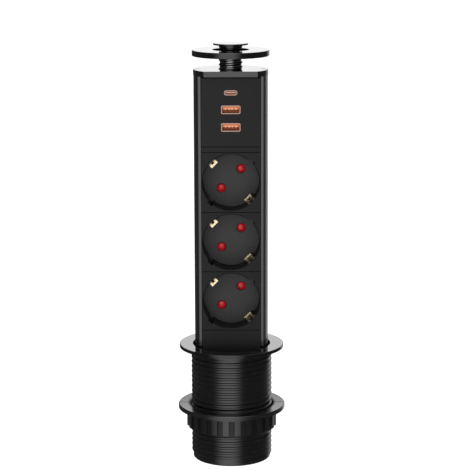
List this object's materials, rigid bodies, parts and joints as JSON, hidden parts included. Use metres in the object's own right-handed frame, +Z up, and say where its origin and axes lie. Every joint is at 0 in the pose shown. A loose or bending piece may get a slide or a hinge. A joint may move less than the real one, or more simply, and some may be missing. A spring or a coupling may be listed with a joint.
{
  "type": "pop up desk socket",
  "caption": "Black pull-up power tower with earthed sockets and USB ports, sliding in a threaded collar clamped through a desk, closed by a round lid.",
  "frame": {"origin": "on the tower's axis at the level of the desk top, under the flange", "axes": "+Z up along the tower, -Y out of the socket faces, +X to the right seen from the front"},
  "size_m": [0.074, 0.074, 0.2915],
  "materials": {
    "collar_black": "satin black, moulded thread",
    "flange_gloss": "mirror gloss black",
    "rubber_black": "matt",
    "guide_plastic": "matt black",
    "clamp_plastic": "satin black",
    "extrusion_black": "black anodised, satin",
    "panel_black": "fine matt black",
    "cap_gloss": "gloss black",
    "base_plastic": "matt black",
    "lid_gloss": "gloss black",
    "stem_plastic": "satin black",
    "knob_gloss": "gloss black",
    "usb_shell_metal": "bright plated steel",
    "usb_tongue_orange": "orange moulding",
    "usb_tongue_peach": "pale orange moulding",
    "board_green": "solder mask",
    "transformer_yellow": "taped coil",
    "capacitor_sleeve": "shrink sleeve",
    "contact_brass": "plain",
    "busbar_brass": "plain",
    "terminal_white": "plain",
    "carrier_plastic": "matt",
    "shutter_red": "satin red",
    "screw_steel": "blackened",
    "plain_steel": "plain",
    "gland_nylon": "satin black",
    "retainer_nylon": "natural"
  },
  "bodies": {
    "collar": {"collar_body": "collar_black", "flange_trim": "flange_gloss", "desk_gasket": "rubber_black", "lid_seat_ring": "rubber_black", "guide_block": "guide_plastic"},
    "clamp_washer": {"clamp_washer": "clamp_plastic"},
    "clamp_nut": {"clamp_nut": "clamp_plastic"},
    "tower": {"tower_extrusion": "extrusion_black", "tower_cap": "cap_gloss", "cap_screws": "screw_steel", "spacer_strip": "panel_black", "lower_panel": "panel_black", "usb_panel": "panel_black", "usb_board": "board_green", "usb_transformer": "transformer_yellow", "usb_capacitors": "capacitor_sleeve", "usb_feed_block": "terminal_white", "live_busbar": "busbar_brass", "neutral_busbar": "busbar_brass", "earth_busbar": "busbar_brass", "terminal_block": "terminal_white", "terminal_screws": "plain_steel", "base_cap": "base_plastic", "base_screws": "screw_steel", "cable_gland": "gland_nylon", "gland_locknut": "gland_nylon", "gland_seal": "rubber_black", "gland_nut": "gland_nylon", "usb_c_shell": "usb_shell_metal", "usb_c_tongue": "usb_tongue_peach", "usb_a_upper_shell": "usb_shell_metal", "usb_a_upper_tongue": "usb_tongue_orange", "usb_a_lower_shell": "usb_shell_metal", "usb_a_lower_tongue": "usb_tongue_orange", "socket_front_1": "panel_black", "contact_carrier_1": "carrier_plastic", "pin_contacts_1": "contact_brass", "earth_clip_1": "contact_brass", "socket_front_2": "panel_black", "contact_carrier_2": "carrier_plastic", "pin_contacts_2": "contact_brass", "earth_clip_2": "contact_brass", "socket_front_3": "panel_black", "contact_carrier_3": "carrier_plastic", "pin_contacts_3": "contact_brass", "earth_clip_3": "contact_brass"},
    "stem_retainer": {"stem_retainer": "retainer_nylon"},
    "lid": {"lid_disc": "lid_gloss", "lid_stem": "stem_plastic", "lid_screws": "plain_steel", "stem_clip": "plain_steel", "knob_spring": "plain_steel"},
    "knob": {"knob": "knob_gloss", "knob_screw": "plain_steel"},
    "shutter_1": {"shutter_1": "shutter_red"},
    "shutter_2": {"shutter_2": "shutter_red"},
    "shutter_3": {"shutter_3": "shutter_red"}
  },
  "joints": [
    {"name": "tower_slide", "type": "slide", "parent": "collar", "child": "tower", "axis": [0, 0, 1], "range_m": [-0.1975, 0]},
    {"name": "washer_slide", "type": "slide", "parent": "collar", "child": "clamp_washer", "axis": [0, 0, 1], "range_m": [-0.0175, 0.035]},
    {"name": "nut_turn", "type": "hinge", "parent": "clamp_washer", "child": "clamp_nut", "pos_m": [0, 0, -0.05], "axis": [0, 0, 1], "range_deg": [-1801, 3601]},
    {"name": "lid_rise", "type": "slide", "parent": "tower", "child": "stem_retainer", "axis": [0, 0, 1], "range_m": [-0.006, 0]},
    {"name": "lid_turn", "type": "hinge", "parent": "stem_retainer", "child": "lid", "pos_m": [0, 0, 0.2], "axis": [0, 0, 1], "range_deg": [-721, 1]},
    {"name": "knob_slide", "type": "slide", "parent": "lid", "child": "knob", "axis": [0, 0, 1], "range_m": [-0.0045, 0], "stiffness_N_per_m": 150, "springref_m": 0.002, "deforming": ["knob_spring"]},
    {"name": "shutter_1_turn", "type": "hinge", "parent": "tower", "child": "shutter_1", "pos_m": [0, 0.0064, 0.11745], "axis": [0, 1, 0], "range_deg": [0, 42], "stiffness_Nm_per_rad": 0.0005},
    {"name": "shutter_2_turn", "type": "hinge", "parent": "tower", "child": "shutter_2", "pos_m": [0, 0.0064, 0.07635], "axis": [0, 1, 0], "range_deg": [0, 42], "stiffness_Nm_per_rad": 0.0005},
    {"name": "shutter_3_turn", "type": "hinge", "parent": "tower", "child": "shutter_3", "pos_m": [0, 0.0064, 0.03525], "axis": [0, 1, 0], "range_deg": [0, 42], "stiffness_Nm_per_rad": 0.0005}
  ],
  "couplings": [
    {"joint": "nut_turn", "follows": "washer_slide", "rad_per_m": 1795.2},
    {"joint": "lid_turn", "follows": "lid_rise", "rad_per_m": 2094.4}
  ]
}
